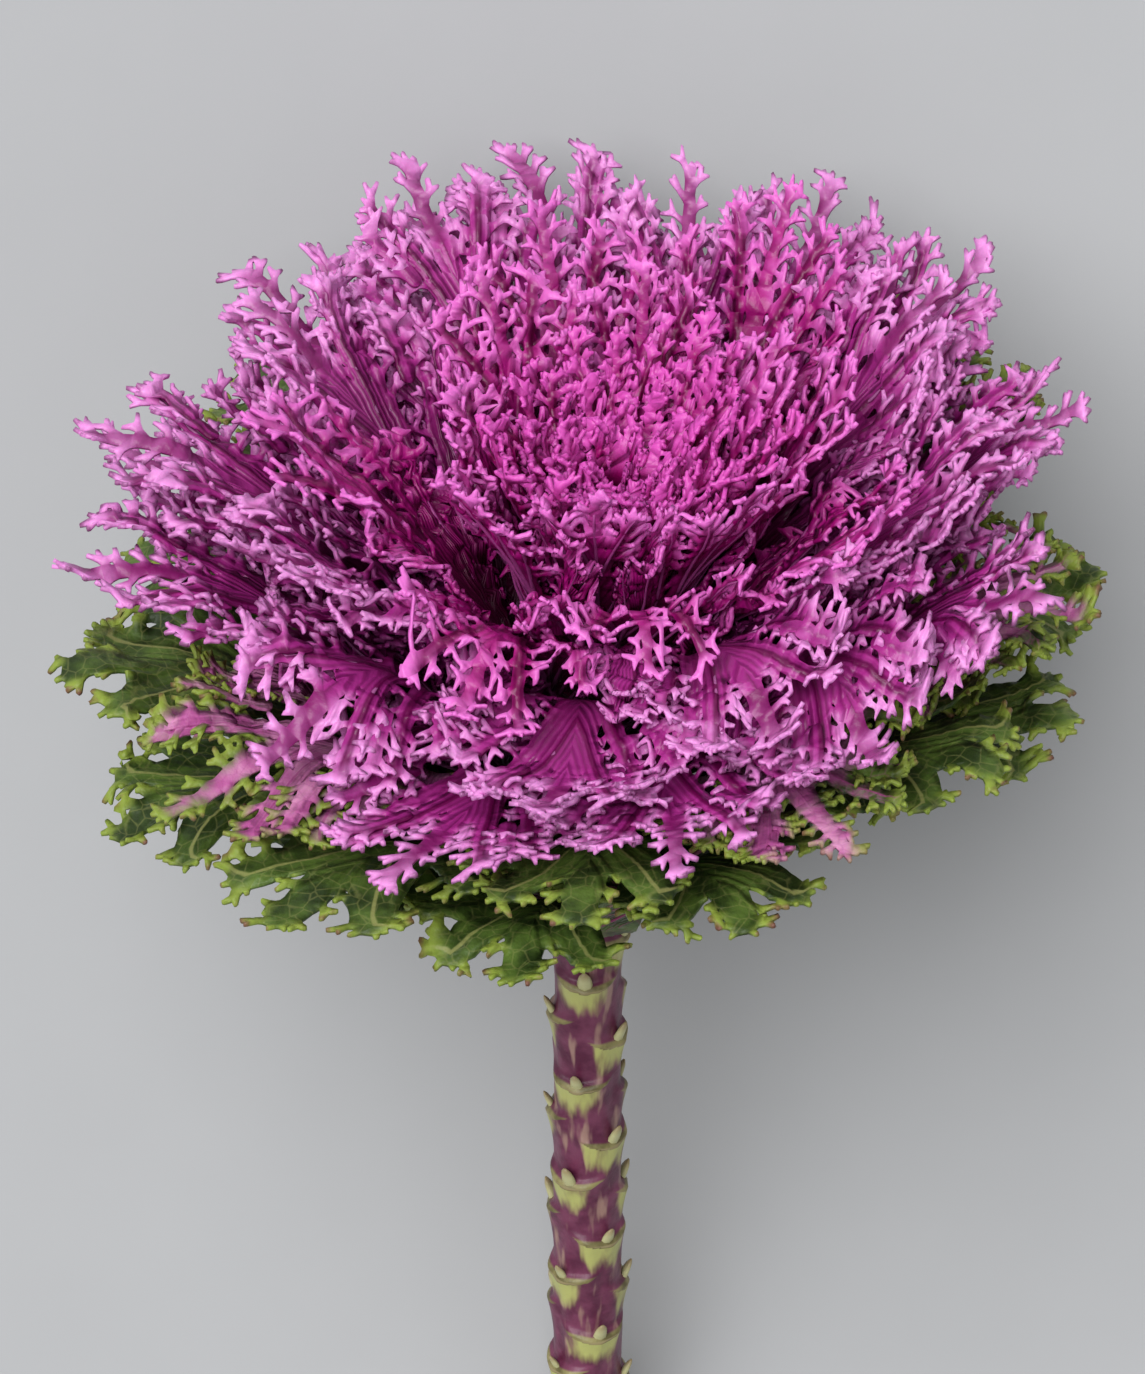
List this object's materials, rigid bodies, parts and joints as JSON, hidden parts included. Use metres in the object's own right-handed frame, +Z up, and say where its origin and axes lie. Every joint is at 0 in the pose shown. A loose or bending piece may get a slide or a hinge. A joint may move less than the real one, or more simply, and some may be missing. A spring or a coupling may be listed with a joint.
{
  "type": "purple ornamental kale",
  "caption": "Feathery purple ornamental kale: a rosette of lobed leaves, green below, on a bare cut stem with leaf scars, lying on its side for dressing kitchens and markets.",
  "frame": {"origin": "middle of the plant's bounding box in plan, at the height of the table it lies on", "axes": "+Y runs from the stem's cut end to the head, +X to the plant's right as seen from above with the head away, +Z up"},
  "size_m": [0.195, 0.3108, 0.1786],
  "materials": {
    "stem": "maroon bark with yellow-green patches below dried leaf scars",
    "heart": "deep magenta, satin leaf",
    "purple_leaf": "lilac-purple leaf with darker veins and tips",
    "variegated_leaf": "cream-pink leaf with green margins",
    "green_leaf": "green leaf with pale veins and a pink midrib"
  },
  "bodies": {
    "root": {"green_leaf_01": "green_leaf", "green_leaf_02": "green_leaf", "green_leaf_03": "green_leaf", "green_leaf_04": "green_leaf", "green_leaf_05": "green_leaf", "green_leaf_06": "green_leaf", "green_leaf_07": "green_leaf", "green_leaf_08": "green_leaf", "green_leaf_09": "green_leaf", "green_leaf_10": "green_leaf", "green_leaf_11": "green_leaf", "green_leaf_12": "green_leaf", "green_leaf_13": "green_leaf", "green_leaf_14": "green_leaf", "green_leaf_15": "green_leaf", "heart": "heart", "purple_leaf_01": "purple_leaf", "purple_leaf_02": "purple_leaf", "purple_leaf_03": "purple_leaf", "purple_leaf_04": "purple_leaf", "purple_leaf_05": "purple_leaf", "purple_leaf_06": "purple_leaf", "purple_leaf_07": "purple_leaf", "purple_leaf_08": "purple_leaf", "purple_leaf_09": "purple_leaf", "purple_leaf_10": "purple_leaf", "purple_leaf_11": "purple_leaf", "purple_leaf_12": "purple_leaf", "purple_leaf_13": "purple_leaf", "purple_leaf_14": "purple_leaf", "purple_leaf_15": "purple_leaf", "purple_leaf_16": "purple_leaf", "purple_leaf_17": "purple_leaf", "purple_leaf_18": "purple_leaf", "purple_leaf_19": "purple_leaf", "purple_leaf_20": "purple_leaf", "purple_leaf_21": "purple_leaf", "purple_leaf_22": "purple_leaf", "purple_leaf_23": "purple_leaf", "purple_leaf_24": "purple_leaf", "purple_leaf_25": "purple_leaf", "purple_leaf_26": "purple_leaf", "purple_leaf_27": "purple_leaf", "purple_leaf_28": "purple_leaf", "purple_leaf_29": "purple_leaf", "purple_leaf_30": "purple_leaf", "purple_leaf_31": "purple_leaf", "purple_leaf_32": "purple_leaf", "purple_leaf_33": "purple_leaf", "purple_leaf_34": "purple_leaf", "purple_leaf_35": "purple_leaf", "purple_leaf_36": "purple_leaf", "stem": "stem", "variegated_leaf_01": "variegated_leaf", "variegated_leaf_02": "variegated_leaf", "variegated_leaf_03": "variegated_leaf", "variegated_leaf_04": "variegated_leaf", "variegated_leaf_05": "variegated_leaf"}
  },
  "joints": []
}
